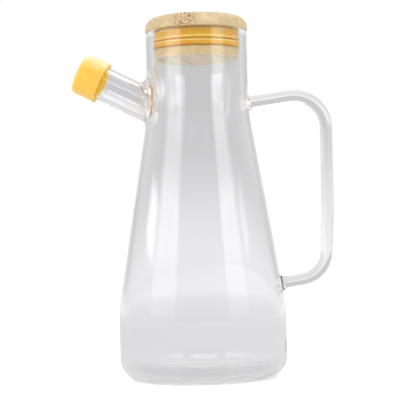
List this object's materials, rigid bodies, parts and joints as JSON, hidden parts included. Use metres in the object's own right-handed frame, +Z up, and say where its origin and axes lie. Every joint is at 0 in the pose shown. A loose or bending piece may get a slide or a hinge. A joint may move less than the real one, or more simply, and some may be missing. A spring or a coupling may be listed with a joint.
{
  "type": "oil dispenser bottle",
  "caption": "Clear glass pouring bottle with a conical body, a slanted side spout under a yellow cap, a bent rod handle and a bamboo lid with a ribbed yellow seal.",
  "frame": {"origin": "centre of the bottle's flat base, on the surface it stands on", "axes": "+Z up along the bottle's axis, +X towards the handle, -X towards the spout"},
  "size_m": [0.1545, 0.0992, 0.2132],
  "materials": {
    "clear_glass": "clear, polished",
    "bamboo": "sanded, unvarnished bamboo",
    "yellow_silicone": "satin silicone",
    "yellow_plastic": "satin moulded plastic"
  },
  "bodies": {
    "root": {"glass_bottle": "clear_glass", "bamboo_lid": "bamboo", "seal_ring": "yellow_silicone", "spout_cap": "yellow_plastic"}
  },
  "joints": []
}
